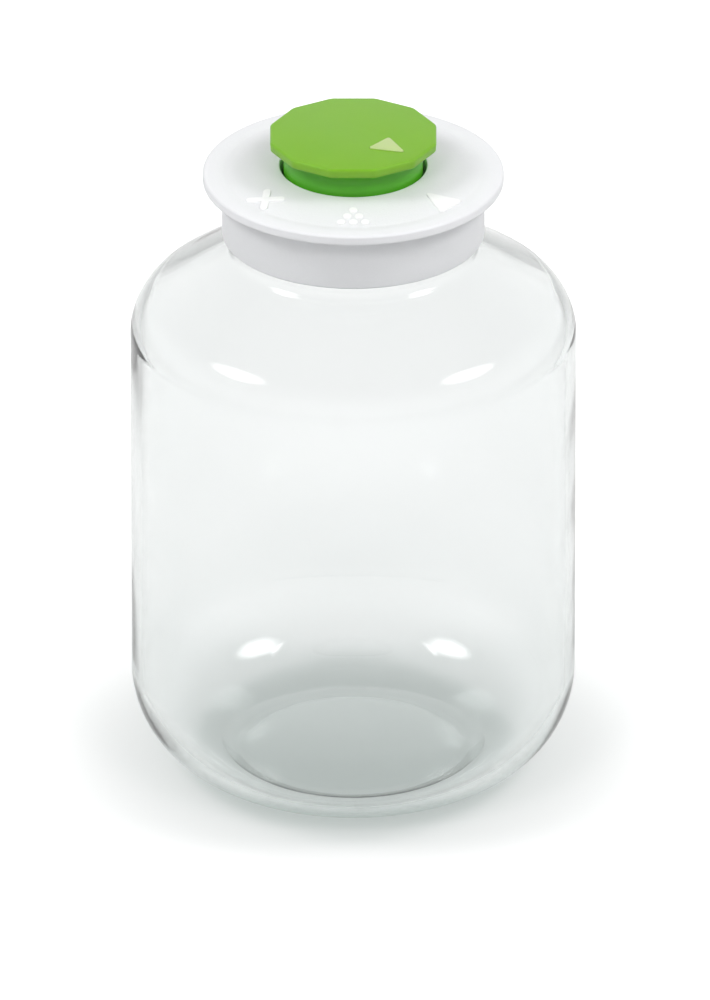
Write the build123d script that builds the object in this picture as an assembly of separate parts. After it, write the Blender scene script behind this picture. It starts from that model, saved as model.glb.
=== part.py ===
from build123d import *
from math import cos, radians, sin, sqrt, tan
import os

# A fermentation jar of about four litres: a blown glass jar, a white lid with a wide lipped
# flange, and a green twelve-sided valve knob that turns in a well in the middle of the lid.
# All lengths are millimetres. The jar stands on z = 0, centred on the vertical axis.

# Glass jar
body_radius = 85.0
glass_wall = 4.0
floor_thickness = 6.0
heel_radius = 40.0
base_rise = 3.0
base_ring_width = 4.0
wall_height = 181.5
shoulder_radius = 19.0
shoulder_slope = 33.8
neck_radius = 46.2
neck_wall = 3.7
neck_height = 25.3
neck_root_radius = 5.0
neck_bead_radius = 1.2
neck_bead_lift = 5.6
rim_round = 1.2
thread_depth = 1.2

# Seal ring between lid and glass
seal_thickness = 2.5
soft_gap = 0.3
seal_side_gap = 0.4

# White lid
collar_gap = 0.6
collar_wall = 2.0
collar_depth = 23.3
collar_end_round = 0.7
flange_overhang = 7.3
flange_thickness = 2.2
flange_lip_height = 3.6
flange_lip_round = 1.2
flange_rise = 2.5
rim_band_width = 11.6
valley_step = 0.7
flange_root_round = 1.0
plug_gap = 1.3
plug_wall = 1.6
plug_depth = 8.0
lid_rib_count = 8
lid_rib_thickness = 1.4
lid_rib_depth = 5.0
well_radius = 27.9
well_wall = 2.0
well_depth = 23.4
well_floor = 2.2
well_edge_round = 1.2
hub_radius = 9.0
hub_depth = 4.8

# Valve parts in the well
seat_thickness = 0.7
seat_side_gap = 0.4
rotor_thickness = 3.0
rotor_lip_thickness = 1.2
port_radius = 3.0
port_offset = 13.5
port_angle = 90.0
knob_step_angle = 49.0
stem_radius = 5.0
running_gap = 0.08
stem_tip_chamfer = 0.8
stem_tip_length = 1.6
oring_section_radius = 0.75
oring_fit_gap = 0.1
oring_lift = 1.9
washer_thickness = 0.8
washer_width = 3.4
washer_gap = 0.1
clip_thickness = 0.9
clip_width = 3.6
clip_groove_depth = 0.9
clip_opening = 5.0
stop_peg_radius = 1.5
stop_peg_height = 2.4
stop_wall_distance = 6.4
stop_angle = 250.0
stop_gap = 0.3
pocket_radius = 5.0
pocket_depth = 1.8
valve_disc_radius = 5.6
valve_disc_thickness = 0.7
valve_crown = 0.5
valve_stem_radius = 1.4
valve_bulb_radius = 2.0
gas_hole_radius = 0.6
gas_hole_offset = 3.4
gas_hole_count = 4
drive_across_flats = 10.0
drive_length = 12.0
drive_fit_gap = 0.1

# Green knob
knob_skirt_gap = 1.4
knob_wall = 2.0
knob_plate_sides = 12
knob_plate_apothem = 31.6
knob_plate_thickness = 3.8
knob_plate_corner = 4.0
knob_plate_edge_round = 0.8
knob_rise = 12.8
knob_neck_waist = 1.0
knob_flare_height = 4.4
knob_waist_lift = 1.2
knob_boss_wall = 1.6
knob_rib_count = 6
knob_rib_thickness = 1.4
knob_rib_depth = 6.0
vent_count = 4
vent_width = 5.0
vent_height = 2.4
pointer_angle = -41.0
pointer_base_offset = 13.0
pointer_length = 10.4
pointer_base_width = 11.6
pointer_corner = 1.0
pointer_recess = 0.8
pointer_proud = 0.4
pointer_fit_gap = 0.05

# Heights and radii that follow from the values above
standing_radius = body_radius - heel_radius
shoulder_turn = 90.0 - shoulder_slope
cone_start_radius = body_radius - shoulder_radius * (1 - cos(radians(shoulder_turn)))
cone_start_height = wall_height + shoulder_radius * sin(radians(shoulder_turn))
neck_root_height = cone_start_height + (cone_start_radius - neck_radius) * tan(radians(shoulder_slope))
rim_height = neck_root_height + neck_height
bore_radius = neck_radius - neck_wall
seal_bottom = rim_height + soft_gap
ceiling_height = seal_bottom + seal_thickness + soft_gap
collar_inner_radius = neck_radius + thread_depth + collar_gap
collar_radius = collar_inner_radius + collar_wall
collar_bottom = ceiling_height - collar_depth
flange_radius = collar_radius + flange_overhang
valley_radius = flange_radius - rim_band_width
flange_edge_top = ceiling_height + flange_thickness
valley_height = flange_edge_top + valley_step
hole_height = valley_height + flange_rise
plug_radius = bore_radius - plug_gap
well_floor_top = hole_height - well_depth
well_floor_bottom = well_floor_top - well_floor
hub_bottom = well_floor_bottom - hub_depth
hub_bore_radius = stem_radius + running_gap
seat_top = well_floor_top + seat_thickness
stop_offset = well_radius - stop_wall_distance
rotor_bottom = seat_top + soft_gap
rotor_top = rotor_bottom + rotor_thickness
skirt_radius = well_radius - knob_skirt_gap
skirt_inner_radius = skirt_radius - knob_wall
skirt_bottom = rotor_bottom + rotor_lip_thickness
knob_top = hole_height + knob_rise
plate_bottom = knob_top - knob_plate_thickness
flare_bottom = plate_bottom - knob_flare_height
knob_cavity_radius = skirt_inner_radius - knob_neck_waist
washer_top = hub_bottom - washer_gap
washer_bottom = washer_top - washer_thickness
clip_top = washer_bottom - washer_gap
clip_bottom = clip_top - clip_thickness
stem_bottom = clip_bottom - stem_tip_length


def outline(*corners):
    """Close a list of (radius, height) corners into a flat face."""
    return make_face(Polyline(*corners, close=True))


def turned(profile):
    """Turn a flat (radius, height) face about the vertical axis."""
    return revolve(Plane.XZ * profile, Axis.Z)


def rounded(profile, corner, radius):
    """Round the corner of a flat face that lies nearest to the given point."""
    vertex = profile.vertices().sort_by_distance((corner[0], corner[1], 0))[0]
    return fillet(vertex, radius)


def ring(inner, outer, bottom, top):
    """Plain ring between two radii and two heights."""
    return turned(outline((inner, bottom), (outer, bottom), (outer, top), (inner, top)))


def disc(radius, bottom, top):
    """Plain disc or peg on the vertical axis."""
    return Pos(0, 0, bottom) * Cylinder(radius, top - bottom, align=(Align.CENTER, Align.CENTER, Align.MIN))


def at_angle(angle, offset):
    """Place at a distance from the axis, in the direction of the angle."""
    return Rot(0, 0, angle) * Pos(offset, 0, 0)


def jar_body(radius, heel, shoulder, neck, bottom, top):
    """Turned body of the jar, for its outer form and, with smaller radii, for its hollow."""
    flat = radius - heel
    turn = radians(shoulder_turn)
    start = (radius - shoulder * (1 - cos(turn)), wall_height + shoulder * sin(turn))
    root = (neck, start[1] + (start[0] - neck) * tan(radians(shoulder_slope)))
    line = [
        Line((0, bottom), (flat, bottom)),
        CenterArc((flat, bottom + heel), heel, -90, 90),
        Line((radius, bottom + heel), (radius, wall_height)),
        CenterArc((radius - shoulder, wall_height), shoulder, 0, shoulder_turn),
        Polyline(start, root, (neck, top), (0, top), (0, bottom)),
    ]
    return rounded(make_face(Curve() + line), root, neck_root_radius)


def jar_glass():
    """Blown jar: large heel, sloping shoulder, wide neck with a bead, pushed-up base."""
    outer = jar_body(body_radius, heel_radius, shoulder_radius, neck_radius, 0, rim_height)
    outer = rounded(outer, (neck_radius, rim_height), rim_round)
    inner_heel = heel_radius - glass_wall
    inner_shoulder = shoulder_radius - glass_wall
    inner_body = body_radius - glass_wall
    hollow = jar_body(inner_body, inner_heel, inner_shoulder, bore_radius, glass_wall, rim_height)
    rise_edge = standing_radius - base_ring_width
    dome_radius = (rise_edge**2 + base_rise**2) / (2 * base_rise)
    dome_centre = base_rise - dome_radius
    dome = Pos(0, 0, dome_centre) * Sphere(dome_radius)
    floor_dome = Pos(0, 0, dome_centre) * Sphere(dome_radius + floor_thickness)
    bead_height = neck_root_height + neck_bead_lift
    bead = Pos(0, 0, bead_height) * Torus(neck_radius, neck_bead_radius)
    glass = turned(outer) + bead
    glass = glass - (turned(hollow) - floor_dome)
    glass = glass - dome
    lip = glass.edges().filter_by(GeomType.CIRCLE).sort_by(Axis.Z)[-1]
    return fillet(lip, rim_round)


def lid_shell():
    """Turned section of the lid: flange with its lip, collar, plug skirt, well and hub."""
    lip_bottom = flange_edge_top - flange_lip_height
    lip_inner = flange_radius - flange_thickness
    well_outer = well_radius + well_wall
    plug_inner = plug_radius - plug_wall
    under_hole = hole_height - flange_thickness
    top = [
        (hub_bore_radius, well_floor_top),
        (well_radius, well_floor_top),
        (well_radius, hole_height),
        (valley_radius, valley_height),
        (flange_radius, flange_edge_top),
        (flange_radius, lip_bottom),
        (lip_inner, lip_bottom),
        (lip_inner, ceiling_height),
        (collar_radius, ceiling_height),
        (collar_radius, collar_bottom),
        (collar_inner_radius, collar_bottom),
        (collar_inner_radius, ceiling_height),
        (plug_radius, ceiling_height),
        (plug_radius, ceiling_height - plug_depth),
        (plug_inner, ceiling_height - plug_depth),
        (plug_inner, ceiling_height + valley_step),
        (well_outer, under_hole),
        (well_outer, well_floor_bottom),
        (hub_radius, well_floor_bottom),
        (hub_radius, hub_bottom),
        (hub_bore_radius, hub_bottom),
    ]
    section = outline(*top)
    section = rounded(section, (well_radius, hole_height), well_edge_round)
    section = rounded(section, (flange_radius, flange_edge_top), flange_lip_round)
    section = rounded(section, (flange_radius, lip_bottom), collar_end_round)
    section = rounded(section, (collar_radius, ceiling_height), flange_root_round)
    section = rounded(section, (collar_radius, collar_bottom), collar_end_round)
    section = rounded(section, (valley_radius, valley_height), rim_band_width)
    return turned(section)


def lid_ribs():
    """Radial ribs under the lid, between the well and the plug skirt."""
    inner = well_radius + well_wall / 2
    outer = plug_radius - plug_wall / 2
    bottom = ceiling_height - lid_rib_depth
    length = outer - inner
    height = lid_rib_depth + flange_thickness
    middle = (inner + outer) / 2
    rib_align = (Align.CENTER, Align.CENTER, Align.MIN)
    blade = Pos(middle, 0, bottom) * Box(length, lid_rib_thickness, height, align=rib_align)
    half_step = 180.0 / lid_rib_count
    ribs = Part()
    for index in range(lid_rib_count):
        angle = half_step + index * 2 * half_step
        ribs += Rot(0, 0, angle) * blade
    return ribs


def lid_cap():
    """White lid: turned shell with ribs, one gas port in the well floor and the stop peg."""
    cap = lid_shell() + lid_ribs()
    cap -= at_angle(port_angle, port_offset) * disc(port_radius, well_floor_bottom, well_floor_top)
    peg_top = well_floor_top + stop_peg_height
    cap += at_angle(stop_angle, stop_offset) * disc(stop_peg_radius, well_floor_top, peg_top)
    return cap


def lid_seal():
    """Flat silicone ring that the lid presses on the glass rim."""
    inner = plug_radius + seal_side_gap
    outer = collar_inner_radius - seal_side_gap
    return ring(inner, outer, seal_bottom, seal_bottom + seal_thickness)


def valve_seat():
    """Thin silicone disc on the well floor, open over the port, the hub and the stop peg."""
    seat = ring(hub_bore_radius + seat_side_gap, well_radius - seat_side_gap, well_floor_top, seat_top)
    seat -= at_angle(port_angle, port_offset) * disc(port_radius, well_floor_top, seat_top)
    seat -= at_angle(stop_angle, stop_offset) * disc(stop_peg_radius + stop_gap, well_floor_top, seat_top)
    return seat


def drive_hexagon(across_flats, bottom, top):
    """Hexagonal prism on the axis, for the rotor's drive and the knob's socket."""
    hexagon = RegularPolygon(across_flats / 2, 6, major_radius=False)
    return Pos(0, 0, bottom) * extrude(hexagon, top - bottom)


def stop_groove():
    """Blind groove under the rotor, as long as the knob turns, for the lid's stop peg."""
    sweep = 2 * knob_step_angle
    half_width = stop_peg_radius + stop_gap
    depth = stop_peg_height - seat_thickness - soft_gap + stop_gap
    band = ring(stop_offset - half_width, stop_offset + half_width, rotor_bottom, rotor_bottom + depth)
    reach = body_radius
    start = radians(stop_angle)
    middle = radians(stop_angle + sweep / 2)
    end = radians(stop_angle + sweep)
    far = reach / cos(radians(sweep / 2))
    wedge = make_face(
        Polyline(
            (0, 0),
            (reach * cos(start), reach * sin(start)),
            (far * cos(middle), far * sin(middle)),
            (reach * cos(end), reach * sin(end)),
            close=True,
        )
    )
    groove = band & (Pos(0, 0, rotor_bottom) * extrude(wedge, depth))
    for angle in (stop_angle, stop_angle + sweep):
        groove += at_angle(angle, stop_offset) * disc(half_width, rotor_bottom, rotor_bottom + depth)
    return groove


def valve_rotor():
    """Disc that closes the knob's skirt and turns on the seat, with its drive and its stem."""
    lip_top = rotor_bottom + rotor_lip_thickness
    rotor = disc(skirt_radius, rotor_bottom, lip_top)
    rotor += disc(skirt_inner_radius - drive_fit_gap, lip_top, rotor_top)
    rotor += drive_hexagon(drive_across_flats, rotor_top, rotor_top + drive_length)
    stem = outline(
        (0, rotor_bottom),
        (stem_radius, rotor_bottom),
        (stem_radius, stem_bottom + stem_tip_chamfer),
        (stem_radius - stem_tip_chamfer, stem_bottom),
        (0, stem_bottom),
    )
    rotor += turned(stem)
    groove_radius = stem_radius - clip_groove_depth
    rotor -= ring(groove_radius, stem_radius + clip_width, clip_bottom, clip_top)
    oring_half = oring_section_radius + oring_fit_gap
    bed_bottom = hub_bottom + oring_lift - oring_half
    bed_top = bed_bottom + 2 * oring_half
    oring_bed = stem_radius - 2 * oring_section_radius - 2 * oring_fit_gap
    rotor -= ring(oring_bed, stem_radius + oring_section_radius, bed_bottom, bed_top)
    rotor -= at_angle(port_angle, port_offset) * disc(port_radius, rotor_bottom, rotor_top)
    valve_place = at_angle(port_angle + knob_step_angle, port_offset)
    rotor -= valve_place * disc(pocket_radius, rotor_bottom, rotor_bottom + pocket_depth)
    rotor -= valve_place * disc(valve_stem_radius + drive_fit_gap, rotor_bottom, rotor_top)
    for index in range(gas_hole_count):
        around = at_angle(index * 360.0 / gas_hole_count, gas_hole_offset)
        rotor -= valve_place * around * disc(gas_hole_radius, rotor_bottom, rotor_top)
    rotor -= stop_groove()
    return rotor


def one_way_valve():
    """Silicone umbrella: a crowned disc on the rotor, a stem through it and a bulb below."""
    web_bottom = rotor_bottom + pocket_depth
    bulb_top = web_bottom - drive_fit_gap
    bulb_bottom = rotor_bottom + soft_gap
    disc_bottom = rotor_top + drive_fit_gap
    disc_top = disc_bottom + valve_disc_thickness
    crown = disc_top + valve_crown
    sphere_radius = (valve_disc_radius**2 + valve_crown**2) / (2 * valve_crown)
    cap = Pos(0, 0, crown - sphere_radius) * Sphere(sphere_radius)
    umbrella = disc(valve_disc_radius, disc_bottom, crown) & cap
    umbrella += disc(valve_stem_radius, bulb_bottom, disc_bottom)
    umbrella += disc(valve_bulb_radius, bulb_bottom, bulb_top)
    return at_angle(port_angle + knob_step_angle, port_offset) * umbrella


def stem_oring():
    """O-ring in the groove of the stem, inside the hub's bore."""
    middle = stem_radius - oring_fit_gap - oring_section_radius
    return Pos(0, 0, hub_bottom + oring_lift) * Torus(middle, oring_section_radius)


def thrust_washer():
    """Plain washer between the hub and the spring ring."""
    inner = stem_radius + running_gap
    return ring(inner, inner + washer_width, washer_bottom, washer_top)


def retaining_ring():
    """Open spring ring in the end groove of the stem."""
    inner = stem_radius - clip_groove_depth
    clip = ring(inner, inner + clip_width, clip_bottom, clip_top)
    reach = inner + clip_width
    slot = Box(reach, clip_opening, clip_thickness, align=(Align.MIN, Align.CENTER, Align.MIN))
    return clip - Pos(0, 0, clip_bottom) * slot


def knob_plate(apothem, bottom, top):
    """Twelve-sided plate with rounded corners, one flat towards each axis."""
    half_turn = 180.0 / knob_plate_sides
    polygon = RegularPolygon(apothem, knob_plate_sides, major_radius=False, rotation=half_turn)
    corners = fillet(polygon.vertices(), knob_plate_corner)
    return Pos(0, 0, bottom) * extrude(corners, top - bottom)


def knob_flare():
    """Underside of the plate: it draws in from the twelve sides to the round neck."""
    polygon = RegularPolygon(
        knob_plate_apothem - knob_plate_edge_round,
        knob_plate_sides,
        major_radius=False,
        rotation=180.0 / knob_plate_sides,
    )
    wide = Pos(0, 0, plate_bottom) * fillet(polygon.vertices(), knob_plate_corner)
    narrow = Pos(0, 0, flare_bottom) * Circle(skirt_radius - knob_neck_waist)
    return loft([narrow, wide])


def knob_body():
    """Turned neck and skirt of the knob, waisted just under the flare."""
    waist = skirt_radius - knob_neck_waist
    waist_bottom = hole_height + knob_waist_lift
    middle_height = (waist_bottom + flare_bottom) / 2
    middle_radius = waist + knob_neck_waist * (1 - sqrt(0.5))
    side = [
        Polyline((waist, flare_bottom), (0, flare_bottom), (0, skirt_bottom)),
        Polyline((0, skirt_bottom), (skirt_radius, skirt_bottom), (skirt_radius, waist_bottom)),
        ThreePointArc((skirt_radius, waist_bottom), (middle_radius, middle_height), (waist, flare_bottom)),
    ]
    return turned(make_face(Curve() + side))


def triangle(growth):
    """Rounded pointer outline, its tip outwards, grown by a small fit gap."""
    half = pointer_base_width / 2 + growth
    base = pointer_base_offset - growth
    tip = pointer_base_offset + pointer_length + growth
    shape = make_face(Polyline((base, -half), (base, half), (tip, 0), close=True))
    return Rot(0, 0, pointer_angle) * fillet(shape.vertices(), pointer_corner)


def knob_shell():
    """Green knob: plate, flare, neck and hollow skirt, with a socket, ribs and gas vents."""
    knob = knob_plate(knob_plate_apothem, plate_bottom, knob_top)
    rim = knob.edges().group_by(Axis.Z)[-1]
    knob = fillet(rim, knob_plate_edge_round)
    knob = knob + knob_flare() + knob_body()
    cavity_top = plate_bottom
    knob -= disc(skirt_inner_radius, skirt_bottom, rotor_top)
    knob -= disc(knob_cavity_radius, rotor_top, cavity_top)
    boss_radius = drive_across_flats / 2 / cos(radians(30)) + knob_boss_wall
    socket_bottom = rotor_top + drive_fit_gap
    knob += disc(boss_radius, socket_bottom, cavity_top)
    rib_length = knob_cavity_radius + knob_wall / 2
    rib_align = (Align.MIN, Align.CENTER, Align.MAX)
    rib = Box(rib_length, knob_rib_thickness, knob_rib_depth, align=rib_align)
    rib = Pos(0, 0, cavity_top) * rib
    for index in range(knob_rib_count):
        knob += Rot(0, 0, index * 360.0 / knob_rib_count) * rib
    socket_flats = drive_across_flats + 2 * drive_fit_gap
    knob -= drive_hexagon(socket_flats, socket_bottom, rotor_top + drive_length + drive_fit_gap)
    vent_bottom = rotor_top + drive_fit_gap
    vent_align = (Align.MIN, Align.CENTER, Align.MIN)
    vent = Pos(boss_radius, 0, vent_bottom) * Box(skirt_radius, vent_width, vent_height, align=vent_align)
    for index in range(vent_count):
        knob -= Rot(0, 0, index * 360.0 / vent_count) * vent
    recess = extrude(triangle(pointer_fit_gap), pointer_recess)
    knob -= Pos(0, 0, knob_top - pointer_recess) * recess
    return knob


def knob_pointer():
    """Pale inlay in the knob's plate, a little proud of it."""
    inlay = extrude(triangle(0), pointer_recess + pointer_proud)
    edge = inlay.edges().group_by(Axis.Z)[-1]
    inlay = fillet(edge, pointer_proud / 2)
    return Pos(0, 0, knob_top - pointer_recess) * inlay


sub_parts = {
    "jar_glass": jar_glass,
    "lid_cap": lid_cap,
    "lid_seal": lid_seal,
    "valve_seat": valve_seat,
    "valve_rotor": valve_rotor,
    "one_way_valve": one_way_valve,
    "stem_oring": stem_oring,
    "thrust_washer": thrust_washer,
    "retaining_ring": retaining_ring,
    "knob_shell": knob_shell,
    "knob_pointer": knob_pointer,
}

os.makedirs("parts", exist_ok=True)
for name, make in sub_parts.items():
    export_step(make(), f"parts/{name}.step")
print("rim height", round(rim_height, 2), "knob top", round(knob_top, 2))
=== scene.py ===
# %% [markdown]
# A clear glass fermentation jar with a white lid and a green valve knob. The construction comes
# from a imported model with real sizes, which this script loads and never moves. The pieces that
# show get finer meshes here, made with bmesh operators, and every piece gets a node material.

# %% Load the frame
from math import asin, atan2, cos, degrees, hypot, pi, radians, sin, sqrt, tan

import bmesh
import bpy
from mathutils import Matrix, Vector


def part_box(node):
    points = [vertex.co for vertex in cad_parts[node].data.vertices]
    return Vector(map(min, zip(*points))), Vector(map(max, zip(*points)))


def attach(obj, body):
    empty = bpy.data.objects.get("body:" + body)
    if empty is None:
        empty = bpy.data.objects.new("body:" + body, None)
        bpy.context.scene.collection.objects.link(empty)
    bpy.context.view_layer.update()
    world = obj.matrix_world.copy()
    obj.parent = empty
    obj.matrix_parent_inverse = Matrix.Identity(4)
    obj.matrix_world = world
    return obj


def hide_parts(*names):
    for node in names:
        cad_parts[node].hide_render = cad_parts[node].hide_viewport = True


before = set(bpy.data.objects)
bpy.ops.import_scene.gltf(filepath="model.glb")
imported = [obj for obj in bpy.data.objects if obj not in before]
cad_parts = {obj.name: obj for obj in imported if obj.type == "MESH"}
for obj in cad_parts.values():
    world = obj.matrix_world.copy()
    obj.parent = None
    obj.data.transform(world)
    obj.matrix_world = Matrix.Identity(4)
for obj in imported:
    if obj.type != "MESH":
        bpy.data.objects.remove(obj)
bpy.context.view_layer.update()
print("nodes", sorted(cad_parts))

# %% [markdown]
# The photographed jar stands upright and its walls look parallel, which only a far camera with
# a long lens gives. So the camera stands some eleven metres away and looks down a little. Its
# place is worked out from the scale of the picture, in pixels for each metre of the object.

# %% Camera
picture_width, picture_height = 710, 1000
axis_pixel_x = 353.3
base_pixel_y = 754.3
body_half_width_pixels = 222.3
camera_rise = radians(26.5)
focal_pixels = 30000.0
sensor_long_side = 36.0

jar_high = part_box("jar_glass")[1]
body_radius = jar_high.x
pixels_per_metre = body_half_width_pixels / body_radius
aim_height = (base_pixel_y - picture_height / 2) / (pixels_per_metre * cos(camera_rise))
aim_side = (picture_width / 2 - axis_pixel_x) / pixels_per_metre
aim = Vector((aim_side, 0, aim_height))
towards_camera = Vector((0, -cos(camera_rise), sin(camera_rise)))

camera_data = bpy.data.cameras.new("camera")
camera_data.sensor_width = sensor_long_side
camera_data.lens = focal_pixels * sensor_long_side / picture_height
camera_data.clip_end = 100
camera = bpy.data.objects.new("camera", camera_data)
camera.location = aim + towards_camera * (focal_pixels / pixels_per_metre)
camera.rotation_mode = "QUATERNION"
camera.rotation_quaternion = towards_camera.to_track_quat("Z", "Y")
bpy.context.scene.collection.objects.link(camera)
bpy.context.scene.camera = camera
bpy.context.scene.view_settings.view_transform = "Standard"
print("lens", round(camera_data.lens), "mm, distance", round(camera.location.length, 2), "m")

# %% [markdown]
# Shader trees are easier to read as sums than as boxes and wires. This class wraps one output
# socket, so that plus, minus and times on it add Math nodes. Its method `node` adds any other
# node to the same tree: the settings are set first, and the inputs are numbers or sockets.

# %% A socket that Python can calculate with
class Wire:
    def __init__(self, tree, socket=None):
        self.tree = tree
        self.socket = socket

    def node(self, kind, settings=None, inputs=None, output=0):
        made = self.tree.nodes.new(kind)
        for name, value in (settings or {}).items():
            setattr(made, name, value)
        for name, value in (inputs or {}).items():
            self.plug(value, made.inputs[name])
        return Wire(self.tree, made.outputs[output] if made.outputs else None)

    def plug(self, value, target):
        if isinstance(value, Wire):
            self.tree.links.new(value.socket, target)
        else:
            target.default_value = value

    def maths(self, operation, *values):
        inputs = {index: value for index, value in enumerate(values)}
        return self.node("ShaderNodeMath", {"operation": operation}, inputs)

    def __add__(self, other):
        return self.maths("ADD", self, other)

    def __sub__(self, other):
        return self.maths("SUBTRACT", self, other)

    def __rsub__(self, other):
        return self.maths("SUBTRACT", other, self)

    def __mul__(self, other):
        return self.maths("MULTIPLY", self, other)

    def above(self, edge, softness):
        """0 under the edge, 1 over it, with a soft step between."""
        inputs = {"Value": self, "From Min": edge - softness, "From Max": edge + softness}
        return self.node("ShaderNodeMapRange", {"interpolation_type": "SMOOTHSTEP"}, inputs)

    def mixed(self, first, second):
        """Colour that goes from the first to the second as this socket goes from 0 to 1."""
        settings = {"data_type": "RGBA", "clamp_factor": True}
        return self.node("ShaderNodeMix", settings, {0: self, 6: first, 7: second}, 2)

    __radd__ = __add__
    __rmul__ = __mul__


# %% [markdown]
# Every material starts the same way: an empty tree, a Principled shader and the coordinates of
# the object, which stay put when the piece moves. What is the same all over is set on the
# shader itself. What varies, such as grain, comes in through base colour, roughness and bump.

# %% Start and end of a material
plastic_index = 1.49


def colour(red, green, blue):
    return (red, green, blue, 1.0)


def grey(value):
    return colour(value, value, value)


def start_material(name):
    material = bpy.data.materials.new(name)
    material.use_nodes = True
    material.node_tree.nodes.clear()
    blank = Wire(material.node_tree)
    place = blank.node("ShaderNodeTexCoord", output="Object")
    return material, blank, place


def noise(place, scale, detail=3.0, roughness=0.5):
    inputs = {"Vector": place, "Scale": scale, "Detail": detail, "Roughness": roughness}
    return place.node("ShaderNodeTexNoise", inputs=inputs)


def bump(height, distance, strength=1.0):
    inputs = {"Height": height, "Distance": distance, "Strength": strength}
    return height.node("ShaderNodeBump", inputs=inputs)


def end_material(material, surface, volume=None):
    output = material.node_tree.nodes.new("ShaderNodeOutputMaterial")
    material.node_tree.links.new(surface.socket, output.inputs["Surface"])
    if volume:
        material.node_tree.links.new(volume.socket, output.inputs["Volume"])
    return material


# %% [markdown]
# The jar is blown glass. Its surface is never quite even, so a very low, wide bump bends the
# reflections a little. Light that runs along the wall is tinted by the glass, which a thin
# volume absorption does. A shadow ray would see glass as solid, so it gets a clear surface.

# %% Glass
glass_index = 1.5
glass_tint = colour(0.55, 0.72, 0.68)
glass_tint_density = 16.0
glass_shadow = colour(0.74, 0.765, 0.755)
glass_wave_scale = 16.0
glass_wave_height = 0.0006
glass_haze_scale = 60.0
glass_haze = 0.02


def make_glass():
    material, blank, place = start_material("clear_glass")
    waves = noise(place, glass_wave_scale, detail=1.0)
    haze = noise(place, glass_haze_scale).above(0.55, 0.2) * glass_haze
    shader = blank.node(
        "ShaderNodeBsdfPrincipled",
        inputs={
            "Base Color": grey(1),
            "Roughness": haze,
            "IOR": glass_index,
            "Transmission Weight": 1.0,
            "Normal": bump(waves, glass_wave_height),
        },
    )
    clear = blank.node("ShaderNodeBsdfTransparent", inputs={"Color": glass_shadow})
    is_shadow = blank.node("ShaderNodeLightPath", output="Is Shadow Ray")
    is_diffuse = blank.node("ShaderNodeLightPath", output="Is Diffuse Ray")
    passing = is_shadow.maths("MAXIMUM", is_shadow, is_diffuse)
    surface = blank.node("ShaderNodeMixShader", inputs={0: passing, 1: shader, 2: clear})
    inputs = {"Color": glass_tint, "Density": glass_tint_density}
    volume = blank.node("ShaderNodeVolumeAbsorption", inputs=inputs)
    return end_material(material, surface, volume)


# %% [markdown]
# The lid is a white moulding. Its flange has a fine spark-eroded grain, which stops at the
# smooth collar, and the grain shows as tiny bright and dark specks rather than as a pattern.
# Two noises of different size make the grain, and a mask keeps it to the top faces.

# %% White plastic
white_shade = colour(0.855, 0.86, 0.875)
white_low_shade = colour(0.79, 0.795, 0.815)
sign_shade = colour(0.94, 0.94, 0.945)
grain_scale = 1500.0
grain_height = 0.00012
cloud_scale = 22.0
white_roughness = 0.36
white_glow = 0.12
white_glow_reach = 0.004


def make_white(grain_above, light, dark):
    material, blank, place = start_material("white_plastic")
    axes = {"X": 0, "Y": 1, "Z": 2}
    height = place.node("ShaderNodeSeparateXYZ", inputs={"Vector": place}, output=axes["Z"])
    on_top = height.above(grain_above, 0.0005)
    fine = noise(place, grain_scale, detail=2.0)
    coarse = noise(place, grain_scale / 3, detail=1.0)
    grain = (fine * 0.6 + coarse * 0.4) * (on_top * 0.85 + 0.15)
    cloud = noise(place, cloud_scale, detail=4.0)
    mottle = (cloud - 0.5) * 0.5 + fine * 0.5
    shader = blank.node(
        "ShaderNodeBsdfPrincipled",
        inputs={
            "Base Color": mottle.mixed(dark, light),
            "Roughness": coarse * 0.16 + on_top * 0.08 + white_roughness,
            "IOR": plastic_index,
            "Subsurface Weight": white_glow,
            "Subsurface Radius": (white_glow_reach, white_glow_reach, white_glow_reach),
            "Subsurface Scale": 1.0,
            "Normal": bump(grain, grain_height),
        },
    )
    return end_material(material, shader)


# %% [markdown]
# The knob is green polypropylene. It is a little translucent, so thin edges glow warmer than
# the broad top, and a soft sheen lies over it. Below the plate the neck is painted a deeper
# green: painted shade, for the shadow of the plate. The pointer is the same plastic in a pale tint.

# %% Green plastics
coloured_cloud_scale = 35.0
coloured_grain_scale = 1900.0
coloured_grain_height = 0.00004
warm_reach = (0.002, 0.004, 0.001)


def make_coloured(name, light, dark, roughness, glow, low=None, painted_shade_edge=0.0):
    material, blank, place = start_material(name)
    cloud = noise(place, coloured_cloud_scale, detail=4.0)
    fine = noise(place, coloured_grain_scale, detail=2.0)
    shade = (cloud * 0.8 + fine * 0.2).mixed(dark, light)
    # Below the given height the colour turns to the darker one passed in: painted shade, as under
    # the knob's plate.
    if low:
        height = place.node("ShaderNodeSeparateXYZ", inputs={"Vector": place}, output=2)
        shade = height.above(painted_shade_edge, 0.0006).mixed(low, shade)
    shader = blank.node(
        "ShaderNodeBsdfPrincipled",
        inputs={
            "Base Color": shade,
            "Roughness": fine * 0.14 + roughness,
            "IOR": plastic_index,
            "Subsurface Weight": glow,
            "Subsurface Radius": warm_reach,
            "Subsurface Scale": 1.0,
            "Normal": bump(fine, coloured_grain_height),
        },
    )
    return end_material(material, shader)


# %% [markdown]
# The parts inside the valve show only through the glass or when the lid is lifted. They still
# have their own finishes: milky silicone with a dusty surface, plain inner plastic with faint
# flow marks, black rubber, and spring steel drawn along its length.

# %% Inner finishes
dust_scale = 420.0
dust_height = 0.00006
drawn_scale = 700.0


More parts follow.
